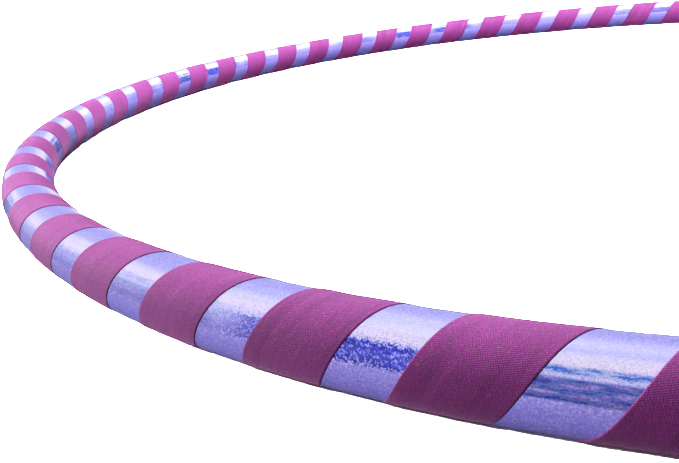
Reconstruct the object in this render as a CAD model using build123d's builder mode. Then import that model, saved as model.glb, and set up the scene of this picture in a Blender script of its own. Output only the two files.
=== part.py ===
"""A taped rhythmic hoop: one length of plastic tube bent into a ring and closed by a push-button
connector, wound from end to end with a gaffer-cloth tape and a holographic tape.

The ring lies flat. Its centre is the origin, +Z is up, Z = 0 is the surface it lies on, and the
push button is at +X on top of the tube. Places along the ring are "arc" lengths in millimetres from
the button, positive anticlockwise. Places around the tube are angles from the outer side, by way
of the top. All lengths are in millimetres and all angles in degrees.
"""

import os
from math import atan, cos, degrees, pi, radians, sin

from build123d import *

# Driving dimensions -----------------------------------------------------------------------------
hoop_outer_diameter = 860.0  # over the tape
tube_diameter = 25.0
tube_wall = 2.3
seam_gap = 0.3  # between the two ends of the tube

gaffer_thickness = 0.37
gaffer_width = 23.0
hologram_thickness = 0.27  # the film on its soft adhesive backing
hologram_width = 16.0
adhesive = 0.03  # glue line, left as the space under each tape
tape_joint = 0.05  # between the hologram tape and the gaffer's lapping edge
tape_turns = 58  # turns that the winding would make if it went all the way round
wrap_angle = 117.0  # from the top of the tube at the button back to the gaffer's lapping edge
band_width = 9.0  # strip of gaffer that finishes the winding, one on each side of the seam
band_clearance = 0.1

seam_arc = -25.0  # the seam's place
insert_start_arc = -109.0  # the riveted end of the connector
insert_end_arc = 32.0
insert_clearance = 0.15
insert_wall = 2.0
insert_lead_in = 0.8  # chamfer that helps the connector into the tube

button_radius = 3.0
button_hole_radius = 3.3
button_height = 1.2  # how far the button stands above the tape
button_flange_radius = 3.9
button_flange_height = 0.8
button_flange_top = 6.6  # above the centre line
button_tail_radius = 1.4
button_tail_head_radius = 2.2
button_tail_head_height = 0.6
button_tip_fillet = 1.0

spring_width = 6.0
spring_thickness = 0.6
spring_play = 0.03
spring_length = 36.0
spring_bend_radius = 3.0
spring_foot_drop = 7.1  # the lower leg's centre line at the foot, below the tube's centre line

rivet_turns = (-1, -2)  # tape turns from the button, so that both rivets land on gaffer
rivet_radius = 2.0
rivet_hole_radius = 2.05
rivet_head_radius = 4.0
rivet_head_height = 1.5
rivet_head_rim = 0.5
rivet_seat = 12.3  # from the centre line: the head beds into the tape and the tube
rivet_seat_radius = 4.1
rivet_bulb_radius = 3.0
rivet_bulb_top = 7.3
rivet_bulb_bottom = 4.4
rivet_bore_radius = 1.15
mandrel_radius = 1.1
mandrel_head_radius = 1.9
mandrel_head_height = 1.3
mandrel_top = 13.0

# Derived sizes ----------------------------------------------------------------------------------
tube_radius = tube_diameter / 2
bore_radius = tube_radius - tube_wall
tape_floor = tube_radius + adhesive  # underside of a tape that lies on the tube
hologram_outer = tape_floor + hologram_thickness
tape_outer = tape_floor + gaffer_thickness
ring_radius = hoop_outer_diameter / 2 - tape_outer  # of the tube's centre line
centre_height = tape_outer
insert_radius = bore_radius - insert_clearance
insert_bore_radius = insert_radius - insert_wall

tape_pitch = 2 * pi * ring_radius / tape_turns
helix_angle = degrees(atan(tape_pitch / (2 * pi * tape_outer)))
ring_step = 360 / tape_turns  # ring angle of one turn of tape
stations_per_turn = 24

MM_TO_RING = degrees(1 / ring_radius)  # ring angle of one millimetre of arc


def across_tube(width):
    """Angle around the tube that a strip of this width covers in one section of the tube."""
    return width / cos(radians(helix_angle)) / tape_pitch * 360


def section_plane(ring_angle):
    """Plane across the tube at a ring angle, with X outwards and Y up."""
    across = (cos(radians(ring_angle)), sin(radians(ring_angle)), 0)
    back = (sin(radians(ring_angle)), -cos(radians(ring_angle)), 0)
    centre = (ring_radius * across[0], ring_radius * across[1], centre_height)
    return Plane(origin=centre, x_dir=across, z_dir=back)


def inward_plane(ring_angle):
    """Plane on the tube's centre line whose normal points at the middle of the ring."""
    inward = (-cos(radians(ring_angle)), -sin(radians(ring_angle)), 0)
    centre = (-ring_radius * inward[0], -ring_radius * inward[1], centre_height)
    return Plane(origin=centre, x_dir=(0, 0, 1), z_dir=inward)


def ring_sleeve(start_arc, end_arc, inner, outer):
    """A length of bent tube between two arc places, as a revolved ring section."""
    start, end = start_arc * MM_TO_RING, end_arc * MM_TO_RING
    with BuildPart() as sleeve:
        with BuildSketch(section_plane(start)):
            Circle(outer)
            Circle(inner, mode=Mode.SUBTRACT)
        revolve(axis=Axis.Z, revolution_arc=end - start)
    return sleeve.part


def tape_section(ring_angle, lead, cover, outer):
    """One section of a tape: a strip that covers an angle around the tube, down from its lapping edge."""
    top = tape_turns * ring_angle - lead
    with BuildSketch(section_plane(ring_angle)) as section:
        with BuildLine():
            upper = CenterArc((0, 0), outer, top, -cover)
            under = CenterArc((0, 0), tape_floor, top, -cover)
            Line(upper @ 0, under @ 0)
            Line(upper @ 1, under @ 1)
        make_face()
    return section.sketch


def tape_length(start, end, stations, *shape):
    """A tape between two ring angles, as one smooth solid through its sections."""
    places = [start + (end - start) * i / stations for i in range(stations + 1)]
    with BuildPart() as length:
        loft([tape_section(place, *shape) for place in places])
    return length.part.solid()


def wound_tape(start_arc, end_arc, *shape):
    """A whole tape. One turn is lofted, and its faces are repeated round the ring and sewn up."""
    start, end = start_arc * MM_TO_RING, end_arc * MM_TO_RING
    turns = int((end - start) // ring_step)
    joint = start + turns * ring_step
    turn = tape_length(start, start + ring_step, stations_per_turn, *shape)
    rest_stations = round((end - joint) / ring_step * stations_per_turn)
    rest = tape_length(joint, end, rest_stations, *shape)

    skins = turn.faces().filter_by(GeomType.BSPLINE)
    rest_skins = rest.faces().filter_by(GeomType.BSPLINE)
    first_cap = turn.faces().filter_by(GeomType.PLANE).sort_by_distance(section_plane(start).origin)[0]
    last_cap = rest.faces().filter_by(GeomType.PLANE).sort_by_distance(section_plane(end).origin)[0]
    faces = [skin.rotate(Axis.Z, i * ring_step) for i in range(turns) for skin in skins]
    return Solid(Shell([first_cap, *faces, *rest_skins, last_cap]))


# Tube -------------------------------------------------------------------------------------------
seam_start_arc = seam_arc + seam_gap / 2
seam_end_arc = seam_arc - seam_gap / 2 + 2 * pi * ring_radius
rivet_angles = [turn * ring_step for turn in rivet_turns]
button_axis = Axis((ring_radius, 0, 0), (0, 0, 1))

with BuildPart() as hoop_tube:
    add(ring_sleeve(seam_start_arc, seam_end_arc, bore_radius, tube_radius))
    with Locations((ring_radius, 0, centre_height)):
        Cylinder(button_hole_radius, 2 * tube_radius, align=(Align.CENTER, Align.CENTER, Align.MIN),
                 mode=Mode.SUBTRACT)
    for angle in rivet_angles:
        with Locations(inward_plane(angle)):
            Cylinder(rivet_hole_radius, 2 * tube_radius,
                     align=(Align.CENTER, Align.CENTER, Align.MIN), mode=Mode.SUBTRACT)
        with Locations(inward_plane(angle).offset(rivet_seat)):
            Cylinder(rivet_seat_radius, tube_radius,
                     align=(Align.CENTER, Align.CENTER, Align.MIN), mode=Mode.SUBTRACT)
hoop_tube.part.label = "hoop_tube"

# Connector insert -------------------------------------------------------------------------------
with BuildPart() as connector_insert:
    add(ring_sleeve(insert_start_arc, insert_end_arc, insert_bore_radius, insert_radius))
    ends = connector_insert.faces().filter_by(GeomType.PLANE)
    chamfer([end.outer_wire().edges()[0] for end in ends], insert_lead_in)
    with Locations((ring_radius, 0, centre_height)):
        Cylinder(button_hole_radius, 2 * tube_radius, align=(Align.CENTER, Align.CENTER, Align.MIN),
                 mode=Mode.SUBTRACT)
    for angle in rivet_angles:
        with Locations(inward_plane(angle)):
            Cylinder(rivet_hole_radius, 2 * tube_radius,
                     align=(Align.CENTER, Align.CENTER, Align.MIN), mode=Mode.SUBTRACT)
connector_insert.part.label = "connector_insert"

# Push button ------------------------------------------------------------------------------------
flange_top = centre_height + button_flange_top
flange_bottom = flange_top - button_flange_height
leg_top = flange_bottom - spring_play
leg_bottom = leg_top - spring_thickness
tail_head_top = leg_bottom - spring_play
tail_head_bottom = tail_head_top - button_tail_head_height
button_top = centre_height + tape_outer + button_height

with BuildPart() as snap_button:
    with BuildSketch(Plane.XZ):
        with BuildLine():
            Polyline(
                (ring_radius, button_top),
                (ring_radius, tail_head_bottom),
                (ring_radius + button_tail_head_radius, tail_head_bottom),
                (ring_radius + button_tail_head_radius, tail_head_top),
                (ring_radius + button_tail_radius, tail_head_top),
                (ring_radius + button_tail_radius, flange_bottom),
                (ring_radius + button_flange_radius, flange_bottom),
                (ring_radius + button_flange_radius, flange_top),
                (ring_radius + button_radius, flange_top),
                (ring_radius + button_radius, button_top),
                close=True,
            )
        make_face()
    revolve(axis=button_axis)
    fillet(snap_button.edges().filter_by(GeomType.CIRCLE).group_by(Axis.Z)[-1], button_tip_fillet)
snap_button.part.label = "snap_button"

# Spring: a folded strip with the button on its upper leg and its lower leg on the connector -----
spring_end = 6.0  # past the button's axis
leg_middle = (leg_top + leg_bottom) / 2
foot_height = centre_height - spring_foot_drop

with BuildPart() as snap_spring:
    with BuildSketch(Plane.YZ.offset(ring_radius)) as strip:
        with BuildLine() as route:
            FilletPolyline(
                (spring_end, leg_middle),
                (-spring_end, leg_middle),
                (spring_end - spring_length, centre_height + spring_bend_radius / 2),
                (spring_end - spring_length, centre_height - spring_bend_radius),
                (-spring_end, foot_height),
                (spring_end, foot_height),
                radius=spring_bend_radius / 2,
            )
        trace(line_width=spring_thickness)
    extrude(amount=spring_width / 2, both=True)
    with Locations((ring_radius, 0, leg_bottom - spring_play)):
        Cylinder(button_tail_radius + 2 * spring_play, spring_thickness + 2 * spring_play,
                 align=(Align.CENTER, Align.CENTER, Align.MIN), mode=Mode.SUBTRACT)
snap_spring.part.label = "snap_spring"

# Blind rivets -----------------------------------------------------------------------------------
with BuildPart() as rivet_bodies:
    for angle in rivet_angles:
        side = inward_plane(angle)
        profile = Plane(origin=side.origin, x_dir=side.x_dir, z_dir=-side.y_dir)
        with BuildSketch(profile):
            with BuildLine():
                Polyline(
                    (rivet_bore_radius, rivet_seat + rivet_head_height),
                    (rivet_bore_radius, rivet_bulb_bottom),
                    (rivet_radius, rivet_bulb_bottom),
                    (rivet_bulb_radius, rivet_bulb_bottom + 1),
                    (rivet_bulb_radius, rivet_bulb_top - 1),
                    (rivet_radius, rivet_bulb_top),
                    (rivet_radius, rivet_seat),
                    (rivet_head_radius, rivet_seat),
                    (rivet_head_radius, rivet_seat + rivet_head_rim),
                )
                ThreePointArc(
                    (rivet_head_radius, rivet_seat + rivet_head_rim),
                    (rivet_head_radius * 0.72, rivet_seat + rivet_head_height * 0.78),
                    (rivet_bore_radius, rivet_seat + rivet_head_height),
                )
            make_face()
        revolve(axis=Axis(side.origin, side.z_dir))
rivet_bodies.part.label = "rivet_bodies"

with BuildPart() as rivet_mandrels:
    for angle in rivet_angles:
        side = inward_plane(angle)
        head_top = rivet_bulb_bottom - spring_play
        with Locations(side.offset(head_top)):
            Cylinder(mandrel_radius, mandrel_top - head_top,
                     align=(Align.CENTER, Align.CENTER, Align.MIN))
        with Locations(side.offset(head_top)):
            Cylinder(mandrel_head_radius, mandrel_head_height,
                     align=(Align.CENTER, Align.CENTER, Align.MAX))
rivet_mandrels.part.label = "rivet_mandrels"

# Tapes ------------------------------------------------------------------------------------------
winding_start_arc = seam_arc + seam_gap / 2 + band_width + band_clearance
winding_end_arc = seam_arc - seam_gap / 2 - band_width - band_clearance + 2 * pi * ring_radius
gaffer_cover = across_tube(gaffer_width)
hologram_cover = across_tube(hologram_width)
hologram_lead = wrap_angle - across_tube(tape_joint) - hologram_cover

with BuildPart() as gaffer_tape:
    add(wound_tape(winding_start_arc, winding_end_arc, wrap_angle, gaffer_cover, tape_outer))
    with Locations((ring_radius, 0, centre_height)):
        Cylinder(button_hole_radius, 2 * tube_radius, align=(Align.CENTER, Align.CENTER, Align.MIN),
                 mode=Mode.SUBTRACT)
    for angle in rivet_angles:
        with Locations(inward_plane(angle)):
            Cylinder(rivet_seat_radius, 2 * tube_radius,
                     align=(Align.CENTER, Align.CENTER, Align.MIN), mode=Mode.SUBTRACT)
gaffer_tape.part.label = "gaffer_tape"

with BuildPart() as hologram_tape:
    add(wound_tape(winding_start_arc, winding_end_arc, hologram_lead, hologram_cover, hologram_outer))
    for angle in rivet_angles:
        with Locations(inward_plane(angle)):
            Cylinder(rivet_seat_radius, 2 * tube_radius,
                     align=(Align.CENTER, Align.CENTER, Align.MIN), mode=Mode.SUBTRACT)
hologram_tape.part.label = "hologram_tape"

# Finishing bands --------------------------------------------------------------------------------
with BuildPart() as seam_band_button_side:
    add(ring_sleeve(seam_arc + seam_gap / 2, seam_arc + seam_gap / 2 + band_width, tape_floor, tape_outer))
seam_band_button_side.part.label = "seam_band_button_side"

with BuildPart() as seam_band_rivet_side:
    add(ring_sleeve(seam_arc - seam_gap / 2 - band_width, seam_arc - seam_gap / 2, tape_floor, tape_outer))
seam_band_rivet_side.part.label = "seam_band_rivet_side"

# Files ------------------------------------------------------------------------------------------
pieces = [
    hoop_tube,
    connector_insert,
    snap_button,
    snap_spring,
    rivet_bodies,
    rivet_mandrels,
    gaffer_tape,
    hologram_tape,
    seam_band_button_side,
    seam_band_rivet_side,
]
os.makedirs("parts", exist_ok=True)
for piece in pieces:
    export_step(piece.part, f"parts/{piece.part.label}.step")
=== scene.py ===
"""A taped rhythmic hoop lying flat: purple cloth tape and holographic film wound round a black tube."""

from math import atan, cos, pi, radians, sin

import bpy
import numpy as np
from mathutils import Matrix, Vector


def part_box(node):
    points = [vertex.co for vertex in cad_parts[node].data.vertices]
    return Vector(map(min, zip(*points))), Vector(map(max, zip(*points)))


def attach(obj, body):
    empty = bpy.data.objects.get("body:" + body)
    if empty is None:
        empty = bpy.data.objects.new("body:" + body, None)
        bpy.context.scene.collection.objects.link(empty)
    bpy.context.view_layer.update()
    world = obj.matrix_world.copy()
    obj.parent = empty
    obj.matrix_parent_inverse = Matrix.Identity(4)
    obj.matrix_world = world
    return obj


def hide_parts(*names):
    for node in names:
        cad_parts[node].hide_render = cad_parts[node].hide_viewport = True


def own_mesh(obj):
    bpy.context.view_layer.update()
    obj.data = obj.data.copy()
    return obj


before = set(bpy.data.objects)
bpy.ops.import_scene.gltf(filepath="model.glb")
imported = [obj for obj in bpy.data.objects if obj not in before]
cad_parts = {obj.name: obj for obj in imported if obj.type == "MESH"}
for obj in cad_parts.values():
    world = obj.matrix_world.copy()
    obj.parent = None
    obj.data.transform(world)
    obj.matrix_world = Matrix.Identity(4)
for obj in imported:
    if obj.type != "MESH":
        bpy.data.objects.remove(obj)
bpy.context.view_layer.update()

MM = 0.001

# The winding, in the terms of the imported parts.
tape_low, tape_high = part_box("gaffer_tape")
tube_low, tube_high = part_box("hoop_tube")
TAPE_OUTER = (tape_high.z - tape_low.z) / 2
CENTRE_HEIGHT = (tape_high.z + tape_low.z) / 2
RING_RADIUS = (tape_high.x - tape_low.x) / 2 - TAPE_OUTER
TUBE_RADIUS = (tube_high.z - tube_low.z) / 2
TAPE_TURNS = 58
TAPE_FLOOR = TUBE_RADIUS + 0.03 * MM
HOLOGRAM_OUTER = TAPE_FLOOR + 0.09 * MM  # the radius at which the film's pattern is laid out
HELIX_ANGLE = atan(RING_RADIUS / TAPE_TURNS / TAPE_OUTER)
LEAD = radians(117)  # tube angle from the button back to the gaffer's lapping edge
GAP_WIDTH = 0.15 * MM  # bare tube beside the hologram film
LAP_WIDTH = 3.2 * MM  # how far the gaffer laps over the film
GAFFER_WIDTH = 23 * MM
GAFFER_THICKNESS = 0.29 * MM
HOLOGRAM_WIDTH = 19 * MM
HOLOGRAM_THICKNESS = 0.085 * MM
SEAM_ANGLE = -25 * MM / RING_RADIUS  # the seam in the tube, 25 mm round from the button
BAND_WIDTH = 9 * MM
BAND_THICKNESS = 0.30 * MM
BAND_OVERLAP = 9 * MM  # the band's end laps this far over its start

# Detail that the plain solids leave out.
LAP_STEP = 0.08 * MM  # the gaffer rises this much where it climbs on the film
INNER_LIFT = 0.14 * MM  # on the ring's inner side the tube's flat facets stand proud of its true curve
EDGE_ROUND = 0.10 * MM
EDGE_SUPPORT = 0.45 * MM
ROWS_PER_TURN = 40
HOLE_RADIUS = 3.3 * MM
RIVET_SEAT_RADIUS = 4.1 * MM
DRILL_DEPTH = 20 * MM
RIVET_TURNS = (-1, -2)
# Where the hand that wound the tape ran early or late: ring angle, turns of the tube, spread in degrees.
WANDERS = (
    (-88, 0.10, 4.5),
    (-126, 0.09, 6.0),
    (-152, -0.14, 12.0),
    (-205, 0.08, 17.0),
    (-250, -0.075, 13.0),
    (-270, 0.06, 7.0),
    (-30, -0.06, 16.0),
    (30, 0.07, 18.0),
)


def wander(ring_angle):
    """How far the winding has run ahead of an even helix, in radians of the tube."""
    turned = np.degrees(ring_angle)
    total = np.zeros_like(turned)
    for centre, turns, spread in WANDERS:
        away = (turned - centre + 180) % 360 - 180
        total += turns * np.exp(-((away / spread) ** 2))
    return 2 * pi * total


def place(ring_angle, tube_angle, radius):
    """Points on the tube's skin: tube_angle runs from the ring's outer side over the top."""
    reach = RING_RADIUS + radius * np.cos(tube_angle)
    height = CENTRE_HEIGHT + radius * np.sin(tube_angle)
    return np.stack([reach * np.cos(ring_angle), reach * np.sin(ring_angle), height], axis=-1)


def strip_mesh(name, points, along, across):
    """A closed solid from rows of the same profile loop, capped at both ends, with a tape UV map."""
    rows, columns = points.shape[:2]
    index = np.arange(rows * columns).reshape(rows, columns)
    here, there = index[:-1], index[1:]
    sides = np.stack([here, np.roll(here, -1, 1), np.roll(there, -1, 1), there], axis=-1).reshape(-1, 4)
    faces = sides.tolist() + [index[0][::-1].tolist(), index[-1].tolist()]
    mesh = bpy.data.meshes.new(name)
    mesh.from_pydata(points.reshape(-1, 3).tolist(), [], faces)
    corner = np.empty(len(mesh.loops), dtype=np.int32)
    mesh.loops.foreach_get("vertex_index", corner)
    flat = np.stack([along.ravel()[corner], across.ravel()[corner]], axis=-1)
    mesh.uv_layers.new(name="Tape").data.foreach_set("uv", flat.astype(np.float32).ravel())
    mesh.polygons.foreach_set("use_smooth", np.ones(len(mesh.polygons), dtype=bool))
    mesh.validate()
    piece = bpy.data.objects.new(name, mesh)
    bpy.context.scene.collection.objects.link(piece)
    return piece


def profile(width, thickness, steps):
    """A tape's section: distance across it and height in it, out over the top and back along the floor."""
    inner = np.linspace(EDGE_SUPPORT, width - EDGE_SUPPORT, steps)
    top_across = np.concatenate([[0, EDGE_ROUND], inner, [width - EDGE_ROUND, width]])
    top_height = np.concatenate([[0.6], np.ones(steps + 2), [0.6]]) * thickness
    floor_across = np.linspace(width, 0, steps // 2)
    return np.concatenate([top_across, floor_across]), np.concatenate([top_height, np.zeros(steps // 2)])


def smooth_step(low, high, value):
    part = np.clip((value - low) / (high - low), 0, 1)
    return part * part * (3 - 2 * part)


def inner_lift(tube_angle):
    """How far the tape stands off on the inner side of the ring."""
    return INNER_LIFT * np.clip(-np.cos(tube_angle) + 0.2, 0, 1)


def winding(name, first, width, thickness, steps, lap=0.0):
    """A tape wound from seam to seam, its lower edge first metres across from the gaffer's lapping edge."""
    start, end = SEAM_ANGLE + BAND_WIDTH / RING_RADIUS, SEAM_ANGLE + 2 * pi - BAND_WIDTH / RING_RADIUS
    rows = int((end - start) / (2 * pi) * TAPE_TURNS * ROWS_PER_TURN)
    across, height = profile(width, thickness, steps)
    ring_angle, across = np.meshgrid(np.linspace(start, end, rows), across, indexing="ij")
    turn_per_metre = 1 / (TAPE_OUTER * sin(HELIX_ANGLE))
    tube_angle = TAPE_TURNS * ring_angle - LEAD - wander(ring_angle) - (first + across) * turn_per_metre
    along = RING_RADIUS * ring_angle * sin(HELIX_ANGLE) + TAPE_OUTER * tube_angle * cos(HELIX_ANGLE)
    climb = lap and LAP_STEP * (1 - smooth_step(lap - 0.5 * MM, lap + 1.2 * MM, across))
    radius = TAPE_FLOOR + height[None, :] + climb + creases(along, across, width, height)
    radius = radius + inner_lift(tube_angle)
    return strip_mesh(name, place(ring_angle, tube_angle, radius), along, across)


def creases(along, across, width, height):
    """Faint pull lines in the tape, none at its edges and none under it."""
    short_wave = np.sin(2 * pi * (along + 0.35 * across) / (17 * MM))
    long_wave = np.sin(2 * pi * (along - 0.9 * across) / (61 * MM))
    pull = short_wave * long_wave
    ripple = np.sin(2 * pi * (along + 0.2 * across) / (5.3 * MM) + 2.0 * np.sin(along / (31 * MM)))
    inside = np.sin(pi * np.clip(across / width, 0, 1)) * (height[None, :] > 0)
    return inside * (0.022 * MM * pull + 0.008 * MM * ripple)


def seam_band(name, side):
    """One turn of gaffer that finishes the winding beside the seam, its end lapped over its start.

    The band starts and ends under the tube. side is 1 on the button's side of the seam, -1 on the other.
    """
    overlap = BAND_OVERLAP / TAPE_OUTER
    end = 1.5 * pi
    across, height = profile(BAND_WIDTH, BAND_THICKNESS, 12)
    turn = np.linspace(-pi / 2 - overlap, end, 160)
    tube_angle, across = np.meshgrid(turn, across, indexing="ij")
    lapped = smooth_step(end - overlap - 0.25, end - overlap, tube_angle)
    radius = TAPE_FLOOR + height[None, :] + 0.06 * MM * lapped + 0.02 * MM * np.sin(9 * tube_angle)
    edge = SEAM_ANGLE + side * 0.15 * MM / RING_RADIUS
    skew = 0.25 * MM * np.sin(tube_angle + 1.0) + 0.12 * MM * np.sin(3 * tube_angle)
    ring_angle = edge + side * (across + skew * (across / BAND_WIDTH)) / RING_RADIUS
    radius = radius + inner_lift(tube_angle)
    piece = strip_mesh(name, place(ring_angle, tube_angle, radius), TAPE_OUTER * tube_angle, across)
    if side < 0:
        piece.data.flip_normals()  # the mirrored band would be inside out
    return piece


def punch(piece, cutters):
    """Cuts the cutters out of a piece and throws them away."""
    for cutter in cutters:
        cut = piece.modifiers.new("Punch", "BOOLEAN")
        cut.operation = "DIFFERENCE"
        cut.solver = "MANIFOLD"
        cut.object = cutter
    bpy.context.view_layer.update()
    shown = piece.evaluated_get(bpy.context.evaluated_depsgraph_get())
    cut_mesh = bpy.data.meshes.new_from_object(shown)
    piece.modifiers.clear()
    piece.data = cut_mesh
    cut_mesh.name = piece.name
    for cutter in cutters:
        bpy.data.objects.remove(cutter)


def drill(centre, direction, radius, depth):
    """A round cutter that stands on centre and reaches depth along direction."""
    sides = 48
    turn = np.linspace(0, 2 * pi, sides, endpoint=False)
    ring = np.stack([radius * np.cos(turn), radius * np.sin(turn), np.zeros(sides)], axis=-1)
    points = np.concatenate([ring, ring + (0, 0, depth)])
    faces = [[i, (i + 1) % sides, sides + (i + 1) % sides, sides + i] for i in range(sides)]
    faces += [list(range(sides))[::-1], list(range(sides, 2 * sides))]
    mesh = bpy.data.meshes.new("Drill")
    mesh.from_pydata(points.tolist(), [], faces)
    cutter = bpy.data.objects.new("Drill", mesh)
    aim = direction.to_track_quat("Z", "Y").to_matrix().to_4x4()
    cutter.matrix_world = Matrix.Translation(centre) @ aim
    bpy.context.scene.collection.objects.link(cutter)
    return cutter


def tape_drills():
    """Cutters for the button's hole in the top of the tape and the rivets' seats in its inner side."""
    button_hole = Vector((RING_RADIUS, 0, CENTRE_HEIGHT))
    cutters = [drill(button_hole, Vector((0, 0, 1)), HOLE_RADIUS, DRILL_DEPTH)]
    for turn in RIVET_TURNS:
        angle = turn * 2 * pi / TAPE_TURNS
        outward = Vector((cos(angle), sin(angle), 0))
        centre = RING_RADIUS * outward + Vector((0, 0, CENTRE_HEIGHT))
        cutters.append(drill(centre, -outward, RIVET_SEAT_RADIUS, DRILL_DEPTH))
    return cutters


class Nodes:
    """Short names for the shader nodes of one material."""

    def __init__(self, name):
        self.material = bpy.data.materials.new(name)
        self.material.use_nodes = True
        self.tree = self.material.node_tree
        self.shader = self.tree.nodes["Principled BSDF"]

    def add(self, kind, inputs=(), output=0, **settings):
        node = self.tree.nodes.new(kind)
        for key, value in settings.items():
            setattr(node, key, value)
        for socket, value in dict(inputs).items():
            if isinstance(value, bpy.types.NodeSocket):
                self.tree.links.new(value, node.inputs[socket])
            else:
                node.inputs[socket].default_value = value
        return node.outputs[output]

    def math(self, operation, *values):
        return self.add("ShaderNodeMath", enumerate(values), operation=operation)

    def between(self, value, low, high, to_low=0.0, to_high=1.0):
        """value eased from the range low..high to to_low..to_high, and held at the ends."""
        inputs = {"Value": value, "From Min": low, "From Max": high, "To Min": to_low, "To Max": to_high}
        return self.add("ShaderNodeMapRange", inputs, interpolation_type="SMOOTHSTEP")

    def mix(self, factor, one, other):
        inputs = {0: factor, 6: one, 7: other}
        return self.add("ShaderNodeMix", inputs, output=2, data_type="RGBA")

    def ramp(self, value, *stops):
        node = self.tree.nodes.new("ShaderNodeValToRGB")
        self.tree.links.new(value, node.inputs[0])
        elements = node.color_ramp.elements
        while len(elements) < len(stops):
            elements.new(0.5)
        for element, (at, shade) in zip(elements, stops):
            element.position = at
            element.color = shade
        return node.outputs[0]

    def noise(self, vector, scale, detail=2.0, roughness=0.5):
        inputs = {"Vector": vector, "Scale": scale, "Detail": detail, "Roughness": roughness}
        return self.add("ShaderNodeTexNoise", inputs)

    def cells(self, vector, scale):
        """A random colour for each cell."""
        return self.add("ShaderNodeTexVoronoi", {"Vector": vector, "Scale": scale}, output=1)

    def vector(self, x, y, z=0.0):
        return self.add("ShaderNodeCombineXYZ", {0: x, 1: y, 2: z})

    def split(self, vector):
        node = self.tree.nodes.new("ShaderNodeSeparateXYZ")
        self.tree.links.new(vector, node.inputs[0])
        return node.outputs

    def object_point(self):
        return self.add("ShaderNodeTexCoord", output=3)

    def bump(self, height, distance):
        return self.add("ShaderNodeBump", {"Height": height, "Distance": distance, "Strength": 1.0})

    def finish(self, **inputs):
        """Sets or links the shader's own sockets and returns the material."""
        for socket, value in inputs.items():
            target = self.shader.inputs[socket.replace("_", " ")]
            if isinstance(value, bpy.types.NodeSocket):
                self.tree.links.new(value, target)
            else:
                target.default_value = value
        return self.material


def colour(red, green, blue):
    """A screen colour of 0 to 255 as the linear colour that a shader takes."""
    parts = [((c / 255 + 0.055) / 1.055) ** 2.4 if c > 10 else c / 255 / 12.92 for c in (red, green, blue)]
    return (*parts, 1.0)


THREAD_PITCH = 0.7 * MM


def gaffer_cloth():
    """Matt purple cotton tape: crossed threads, pile that catches the light, painted shade in the low parts
    of the weave that is strongest on the top of the tube, painted light and shade along its pull lines, and
    a painted highlight along its lapping edge.
    """
    n = Nodes("gaffer_cloth")
    along, across, _ = n.split(n.add("ShaderNodeUVMap", uv_map="Tape"))
    point = n.object_point()
    wobble = n.math("MULTIPLY", n.noise(point, 900.0), 0.5 * MM)
    warp = n.math("SINE", n.math("MULTIPLY", n.math("ADD", across, wobble), 2 * pi / THREAD_PITCH))
    weft = n.math("SINE", n.math("MULTIPLY", n.math("ADD", along, wobble), 2 * pi / THREAD_PITCH))
    weave = n.math("MULTIPLY", warp, weft)
    lint = n.noise(point, 2600.0, 3.0, 0.7)
    patches = n.noise(point, 45.0, 3.0)
    shade = n.ramp(patches, (0.3, colour(138, 46, 128)), (0.7, colour(154, 56, 144)))
    pull = n.noise(n.vector(n.math("DIVIDE", along, 14.0), across), 1 / (3.2 * MM), 3.0, 0.6)
    up = n.split(point)[2]
    # Painted shade in the low parts of the weave, strongest on the top of the tube where the light falls.
    painted_weave_shade_share = n.between(up, 0.25 * TAPE_OUTER, 1.8 * TAPE_OUTER, 0.30, 1.0)  # strongest on top
    low = n.math("MULTIPLY", n.between(weave, -0.9, 0.5, 1.0, 0.0), painted_weave_shade_share)
    shade = n.mix(low, shade, colour(92, 24, 88))
    shade = n.mix(n.between(lint, 0.56, 0.72, 0.0, 0.45), shade, colour(206, 122, 196))
    shade = n.mix(n.between(lint, 0.44, 0.30, 0.0, 0.55), shade, colour(70, 20, 72))
    # Painted shade and painted highlight along the pull lines, on top of their bump.
    shade = n.mix(n.between(pull, 0.50, 0.32, 0.0, 0.35), shade, colour(96, 28, 92))
    shade = n.mix(n.between(pull, 0.58, 0.72, 0.0, 0.25), shade, colour(190, 92, 174))
    # A painted highlight along the gaffer's lapping edge.
    painted_edge_highlight = n.between(across, 0.28 * MM, 0.05 * MM, 0.0, 0.12)
    shade = n.mix(painted_edge_highlight, shade, colour(226, 130, 200))
    height = n.math("ADD", weave, n.math("MULTIPLY_ADD", lint, 1.5, n.math("MULTIPLY", pull, 2.0)))
    return n.finish(
        Base_Color=shade,
        Roughness=n.between(lint, 0.3, 0.7, 0.86, 0.66),
        Normal=n.bump(height, 0.035 * MM),
        Sheen_Weight=0.45,
        Sheen_Roughness=0.45,
        Sheen_Tint=colour(236, 170, 230),
        Specular_IOR_Level=0.3,
    )


# Painted reflections in the film, bands of diffraction colour placed as shares of the way round from the
# tube's top (0) to its underside (1):
# middle, half width at the faded edge and half width of the full band.
PAINTED_SPARKLE_BAND = (0.362, 0.120, 0.095)
PAINTED_STREAK_BAND = (0.375, 0.080, 0.055)
PAINTED_AZURE_BAND = (0.262, 0.034, 0.012)


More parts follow.
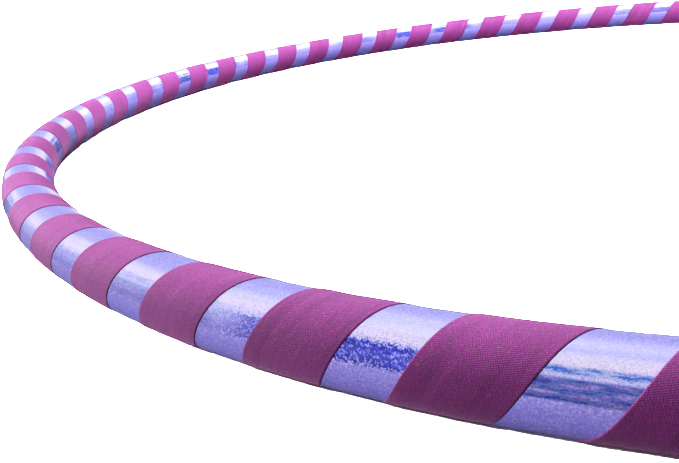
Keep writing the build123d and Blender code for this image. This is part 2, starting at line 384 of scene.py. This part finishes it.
class FilmPlaces:
    """Where a point of the film lies on the tube, and the fine patterns that all of its look shares."""

    def __init__(self, n):
        point = n.object_point()
        x, y, z = n.split(point)
        self.ring = n.math("ARCTAN2", y, x)
        reach = n.add("ShaderNodeVectorMath", {0: n.vector(x, y)}, output=1, operation="LENGTH")
        outward = n.math("SUBTRACT", reach, RING_RADIUS)
        upward = n.math("SUBTRACT", z, CENTRE_HEIGHT)
        tilt = n.math("ARCTAN2", outward, upward)
        arc = n.math("MULTIPLY", self.ring, RING_RADIUS)
        girth = n.math("MULTIPLY", tilt, HOLOGRAM_OUTER)
        self.skin = n.vector(arc, girth)
        drift = n.math("MULTIPLY_ADD", n.noise(point, 14.0, 1.0), 0.10, -0.05)
        self.side = n.math("ADD", n.math("DIVIDE", n.math("ABSOLUTE", tilt), pi), drift)
        self.grain = n.split(n.cells(self.skin, 1 / (0.42 * MM)))[0]
        self.glint_and_speck_cells = n.split(n.cells(self.skin, 1 / (0.23 * MM)))[1]
        lines = n.noise(n.vector(n.math("DIVIDE", arc, 6.0), girth), 1 / (1.1 * MM), 4.0, 0.7)
        mottle = n.noise(self.skin, 1 / (0.5 * MM))
        self.streak = n.math("MULTIPLY_ADD", mottle, 0.25, n.math("MULTIPLY", lines, 0.75))
        self.sheen = n.noise(n.vector(n.math("DIVIDE", arc, 25.0), girth), 1 / (2.4 * MM), 2.0, 0.5)

    def band(self, n, middle, faded, full, ragged=None):
        """1 inside a band round the sides of the tube, 0 outside it."""
        away = n.math("ABSOLUTE", n.math("SUBTRACT", self.side, middle))
        if ragged is not None:
            away = n.math("ADD", away, ragged)
        return n.between(away, faded, full)


def film_ground(n, at):
    """The film away from its bands: pale at the shoulder of the tube as a painted highlight, lilac below
    and a little darker towards the underside as painted shade, with flecks and specks.
    """
    # Painted light round the tube: the pale stops at the shoulder are a painted highlight, and the colour
    # darkens towards the underside as painted shade.
    shade = n.ramp(
        n.math("ADD", at.side, n.math("MULTIPLY_ADD", at.sheen, 0.10, -0.05)),
        (0.03, colour(112, 112, 176)),
        (0.12, colour(130, 132, 184)),
        (0.18, colour(172, 170, 194)),
        (0.24, colour(190, 180, 204)),
        (0.30, colour(160, 164, 212)),
        (0.42, colour(134, 126, 208)),
        (0.60, colour(124, 114, 210)),
        (0.80, colour(112, 104, 200)),
        (0.98, colour(100, 92, 190)),
    )
    # Flecks and blue specks are painted glints, strongest in a band down the side of the tube below the
    # painted highlight.
    below_top = n.between(at.side, 0.16, 0.30, 0.4, 1.0)
    above_low = n.between(at.side, 0.42, 0.52, 1.0, 0.5)
    painted_glint_band = n.math("MULTIPLY", below_top, above_low)
    flecks = n.math("MULTIPLY", n.between(at.grain, 0.45, 1.0, 0.0, 0.55), painted_glint_band)
    shade = n.mix(flecks, shade, colour(204, 192, 226))
    painted_blue_glints = n.math("MULTIPLY", n.between(at.glint_and_speck_cells, 0.60, 1.0, 0.0, 0.70), painted_glint_band)
    shade = n.mix(painted_blue_glints, shade, colour(84, 86, 190))
    return n.mix(n.between(at.glint_and_speck_cells, 0.28, 0.0, 0.0, 0.18), shade, colour(196, 140, 196))


def painted_sparkle_reflection(n, at):
    """Painted reflection for the sparkle band: deep blue glitter with pale specks."""
    speck = n.noise(at.skin, 1 / (0.8 * MM))
    return n.ramp(
        n.math("MULTIPLY_ADD", speck, 0.6, n.math("MULTIPLY", at.grain, 0.4)),
        (0.42, colour(18, 18, 132)),
        (0.55, colour(44, 44, 188)),
        (0.66, colour(128, 134, 218)),
    )


def painted_streak_reflection(n, at):
    """Painted reflection for the streak band: long drawn lines of blue, teal, plum and lilac."""
    return n.ramp(
        at.streak,
        (0.40, colour(18, 22, 108)),
        (0.45, colour(40, 52, 164)),
        (0.49, colour(50, 92, 150)),
        (0.53, colour(86, 54, 138)),
        (0.60, colour(126, 116, 196)),
    )


def hologram_film():
    """Silver-lilac diffraction film: fine grain all over, and painted reflections, bands of sparkle and
    colour on the sides.
    """
    n = Nodes("hologram_film")
    at = FilmPlaces(n)
    shade = film_ground(n, at)

    # The painted reflections of sparkle and streaks take turns round the ring, and both grow and fade again
    # eight times.
    turns = n.math("COSINE", n.math("MULTIPLY", n.math("ADD", at.ring, radians(100)), 20.0))
    envelope = n.math("COSINE", n.math("MULTIPLY", n.math("ADD", at.ring, radians(95)), 8.0))
    strength = n.between(envelope, -1.0, 1.0, 0.30, 1.0)
    sparkle_share = n.math("MULTIPLY", n.between(turns, -0.4, 0.6), strength)
    streak_share = n.math("MULTIPLY", n.between(turns, 0.1, -0.7), strength)

    ragged = n.math("MULTIPLY_ADD", at.grain, 0.03, n.math("MULTIPLY", at.sheen, 0.03))
    painted_sparkle_mask = at.band(n, *PAINTED_SPARKLE_BAND, ragged=ragged)
    shade = n.mix(n.math("MULTIPLY", painted_sparkle_mask, sparkle_share), shade, painted_sparkle_reflection(n, at))
    shade = n.mix(n.math("MULTIPLY", at.band(n, *PAINTED_STREAK_BAND), streak_share), shade, painted_streak_reflection(n, at))
    azure = n.mix(n.between(at.streak, 0.44, 0.56), colour(40, 84, 178), colour(150, 158, 200))
    shade = n.mix(n.math("MULTIPLY", at.band(n, *PAINTED_AZURE_BAND), streak_share), shade, azure)

    return n.finish(
        Base_Color=shade,
        Metallic=0.12,
        Specular_IOR_Level=0.25,
        Roughness=n.between(at.grain, 0.0, 1.0, 0.42, 0.60),
        Normal=n.bump(n.math("ADD", at.grain, at.sheen), 0.02 * MM),
        Coat_Weight=0.06,
        Coat_Roughness=0.3,
    )


def moulded_plastic(name, shade, worn_shade, roughness):
    """Extruded or moulded plastic: handling scuffs and a soft skin."""
    n = Nodes(name)
    point = n.object_point()
    scuffs = n.noise(point, 220.0, 5.0, 0.65)
    pores = n.noise(point, 2400.0, 2.0)
    tint = n.mix(n.between(scuffs, 0.55, 0.75, 0.0, 0.6), colour(*shade), colour(*worn_shade))
    return n.finish(
        Base_Color=tint,
        Roughness=n.between(scuffs, 0.3, 0.7, roughness, roughness + 0.2),
        Normal=n.bump(pores, 0.01 * MM),
        Specular_IOR_Level=0.4,
    )


def brushed_metal(name, shade, dark_shade, roughness, stretch):
    """Bare metal with fine working marks drawn out along one direction, and darker traces of handling."""
    n = Nodes(name)
    x, y, z = n.split(n.object_point())
    drawn = n.vector(*(n.math("MULTIPLY", part, by) for part, by in zip((x, y, z), stretch)))
    marks = n.noise(drawn, 900.0, 4.0, 0.7)
    stain = n.noise(n.object_point(), 300.0, 3.0)
    tint = n.mix(n.between(stain, 0.5, 0.75, 0.0, 0.5), colour(*shade), colour(*dark_shade))
    tint = n.mix(n.between(marks, 0.35, 0.65, 0.25, 0.0), tint, colour(*dark_shade))
    return n.finish(
        Base_Color=tint,
        Metallic=1.0,
        Roughness=n.between(marks, 0.3, 0.7, roughness, roughness + 0.18),
        Normal=n.bump(marks, 0.006 * MM),
    )


def spring_piece():
    """The bent spring, copied from its part and given a steel material of its own."""
    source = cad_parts["snap_spring"]
    piece = bpy.data.objects.new("snap_spring_leaf", source.data.copy())
    bpy.context.scene.collection.objects.link(piece)
    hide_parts("snap_spring")
    piece.data.materials.clear()
    steel = brushed_metal("spring_steel", (176, 178, 184), (96, 92, 90), 0.22, (6, 1, 1))
    piece.data.materials.append(steel)
    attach(piece, "hoop")
    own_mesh(piece)


def dress(node, material):
    """Gives a carried-over part its material."""
    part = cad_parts[node]
    part.data.materials.clear()
    part.data.materials.append(material)


def dress_parts():
    """Materials for the parts that are shown as they come."""
    black = moulded_plastic("tube_plastic", (24, 24, 27), (52, 52, 56), 0.42)
    grey = moulded_plastic("connector_plastic", (196, 198, 196), (150, 152, 150), 0.38)
    bright = brushed_metal("button_steel", (206, 208, 212), (120, 118, 116), 0.16, (1, 1, 8))
    aluminium = brushed_metal("rivet_aluminium", (200, 202, 206), (130, 130, 132), 0.34, (1, 1, 1))
    dull = brushed_metal("mandrel_steel", (150, 150, 154), (84, 80, 78), 0.38, (1, 1, 1))
    dress("hoop_tube", black)
    dress("connector_insert", grey)
    dress("snap_button", bright)
    dress("rivet_bodies", aluminium)
    dress("rivet_mandrels", dull)


def build_tapes():
    """Both tapes and the two finishing bands, each in place of its plain solid."""
    cloth, film = gaffer_cloth(), hologram_film()
    gaffer = winding("gaffer_winding", 0.0, GAFFER_WIDTH, GAFFER_THICKNESS, 22, lap=LAP_WIDTH)
    film_first = GAFFER_WIDTH + GAP_WIDTH
    hologram = winding("hologram_winding", film_first, HOLOGRAM_WIDTH, HOLOGRAM_THICKNESS, 16)
    punch(gaffer, tape_drills())
    punch(hologram, tape_drills())
    button_side = seam_band("seam_wrap_button_side", 1)
    rivet_side = seam_band("seam_wrap_rivet_side", -1)
    stand_ins = (
        (gaffer, "gaffer_tape", "gaffer_cloth", cloth),
        (hologram, "hologram_tape", "hologram_film", film),
        (button_side, "seam_band_button_side", "gaffer_cloth", cloth),
        (rivet_side, "seam_band_rivet_side", "gaffer_cloth", cloth),
    )
    for piece, node, slot, material in stand_ins:
        piece.data.materials.clear()
        piece.data.materials.append(material)
        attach(piece, "hoop")
        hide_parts(node)


# The camera, in ring radii from the middle of the ring, and its turn in radians.
CAMERA_BACK = 1.37138
CAMERA_UP = 0.22821
CAMERA_YAW = -0.42171
CAMERA_PITCH = 0.34627
CAMERA_ROLL = -0.10123
SENSOR = 36.0
LENS = 39.888


def add_camera():
    """The camera, low over the near side of the ring and rolled a little."""
    data = bpy.data.cameras.new("Camera")
    data.sensor_width = SENSOR
    data.lens = LENS
    data.clip_start, data.clip_end = 0.01, 200
    camera = bpy.data.objects.new("Camera", data)
    bpy.context.scene.collection.objects.link(camera)
    bpy.context.scene.camera = camera
    level, drop = cos(CAMERA_PITCH), -sin(CAMERA_PITCH)
    ahead = Vector((sin(CAMERA_YAW) * level, cos(CAMERA_YAW) * level, drop))
    right = Vector((cos(CAMERA_YAW), -sin(CAMERA_YAW), 0))
    up = right.cross(ahead)
    turned_right = cos(CAMERA_ROLL) * right + sin(CAMERA_ROLL) * up
    turned_up = cos(CAMERA_ROLL) * up - sin(CAMERA_ROLL) * right
    turn = Matrix((turned_right, turned_up, -ahead)).transposed().to_4x4()
    spot = Vector((0, -CAMERA_BACK * RING_RADIUS, CENTRE_HEIGHT + CAMERA_UP * RING_RADIUS))
    camera.matrix_world = Matrix.Translation(spot) @ turn


def area_light(name, spot, aim, size, power, only):
    """A soft box that the camera doesn't see and that lights only the objects in only."""
    data = bpy.data.lights.new(name, "AREA")
    data.shape = "RECTANGLE"
    data.size, data.size_y = size
    data.energy = power
    light = bpy.data.objects.new(name, data)
    light.location = spot
    light.rotation_euler = (Vector(aim) - Vector(spot)).to_track_quat("-Z", "Y").to_euler()
    light.visible_camera = False
    bpy.context.scene.collection.objects.link(light)
    lit = bpy.data.collections.new(f"{name}Lit")
    for thing in only:
        lit.objects.link(thing)
    light.light_linking.receiver_collection = lit


# The light tent: brightest towards LIGHT_FROM and nearly dark on the other side.
LIGHT_FROM = Vector((-0.70, 0.15, 0.70))
TENT_MEAN = 0.25
TENT_SWING = 0.36
TENT_DARKEST = 0.02


def light_tent():
    """A world that shades softly from one bright side to a dim one."""
    world = bpy.data.worlds.new("Studio")
    bpy.context.scene.world = world
    world.use_nodes = True
    tree = world.node_tree
    direction = tree.nodes.new("ShaderNodeTexCoord")
    towards = tree.nodes.new("ShaderNodeVectorMath")
    towards.operation = "DOT_PRODUCT"
    towards.inputs[1].default_value = LIGHT_FROM.normalized()
    tent = tree.nodes.new("ShaderNodeMath")
    tent.operation = "MULTIPLY_ADD"
    tent.inputs[1].default_value = TENT_SWING
    tent.inputs[2].default_value = TENT_MEAN
    least = tree.nodes.new("ShaderNodeMath")
    least.operation = "MAXIMUM"
    least.inputs[1].default_value = TENT_DARKEST
    tree.links.new(direction.outputs["Generated"], towards.inputs[0])
    tree.links.new(towards.outputs["Value"], tent.inputs[0])
    tree.links.new(tent.outputs[0], least.inputs[0])
    tree.links.new(least.outputs[0], tree.nodes["Background"].inputs["Strength"])
    tree.nodes["Background"].inputs["Color"].default_value = (1, 1, 1, 1)


# Small lamps that light the floor alone, round the front of the ring: degrees, metres and watts.
FLOOR_LAMP_TURNS = (-150, -105, -60, -15)
FLOOR_LAMP_REACH = 2.0
FLOOR_LAMP_HEIGHT = 1.7
FLOOR_LAMP_SIZE = (0.3, 0.3)
FLOOR_LAMP_POWER = 900

# Soft boxes: name, place, point aimed at, size, watts and what it lights.
SOFTBOXES = (
    ("TopSoftbox", (-0.25, 0.35, 1.25), (-0.25, 0.35, 0), (0.9, 0.9), 31, "hoop"),
    ("LeftSoftbox", (-1.1, -0.5, 0.30), (-0.2, -0.35, 0), (0.6, 0.4), 6, "all but film"),
    ("LowSoftbox", (-1.1, -0.7, 0.10), (-0.2, -0.4, 0), (0.7, 0.2), 6, "all but film"),
    ("FarSoftbox", (-0.1, -0.15, 0.7), (-0.1, 0.45, 0.3), (0.5, 0.3), 8, "hoop"),
    ("FarFill", (0.0, -0.1, 0.12), (-0.1, 0.43, 0.01), (0.6, 0.2), 2, "hoop"),
    ("FilmSoftbox", (-0.3, -1.3, 0.25), (-0.1, -0.4, 0), (1.2, 0.4), 9, "film"),
    ("FilmLeftSoftbox", (-1.1, -0.6, 0.30), (-0.3, -0.3, 0), (0.8, 0.5), 2.2, "film"),
)


def add_floor():
    """White paper, lit hard by four lamps of its own, so that only the line under the tube stays dark.

    Further out the paper glows, which stands for the lit backdrop that it curves up into.
    """
    reach = 60.0
    corners = [(-reach, -reach, 0), (reach, -reach, 0), (reach, reach, 0), (-reach, reach, 0)]
    mesh = bpy.data.meshes.new("Floor")
    mesh.from_pydata(corners, [], [(0, 1, 2, 3)])
    floor = bpy.data.objects.new("Floor", mesh)
    bpy.context.scene.collection.objects.link(floor)
    paper = Nodes("floor_paper")
    x, y, _ = paper.split(paper.object_point())
    away = paper.add("ShaderNodeVectorMath", {0: paper.vector(x, y)}, output=1, operation="LENGTH")
    glow = paper.between(away, 0.9, 2.0, 0.0, 1.3)
    white = colour(250, 250, 250)
    paper.finish(Base_Color=white, Roughness=0.9, Specular_IOR_Level=0.1)
    mesh.materials.append(paper.finish(Emission_Color=white, Emission_Strength=glow))
    floor.visible_diffuse = False
    floor.visible_glossy = False
    for turn in FLOOR_LAMP_TURNS:
        across, back = FLOOR_LAMP_REACH * cos(radians(turn)), FLOOR_LAMP_REACH * sin(radians(turn))
        spot = (across, back, FLOOR_LAMP_HEIGHT)
        area_light(f"FloorLamp{abs(turn)}", spot, (0, 0, 0), FLOOR_LAMP_SIZE, FLOOR_LAMP_POWER, [floor])


def add_studio():
    """A pale floor, a light tent, and soft boxes, each for the whole hoop or for some of its pieces."""
    add_floor()
    light_tent()
    hoop = [piece for piece in bpy.data.objects if piece.type == "MESH" and piece.name != "Floor"]
    film = [piece for piece in hoop if piece.name == "hologram_winding"]
    groups = {"hoop": hoop, "film": film, "all but film": [piece for piece in hoop if piece not in film]}
    for name, spot, aim, size, power, group in SOFTBOXES:
        area_light(name, spot, aim, size, power, groups[group])
    bpy.context.scene.view_settings.view_transform = "Standard"


dress_parts()
build_tapes()
spring_piece()
add_camera()
add_studio()
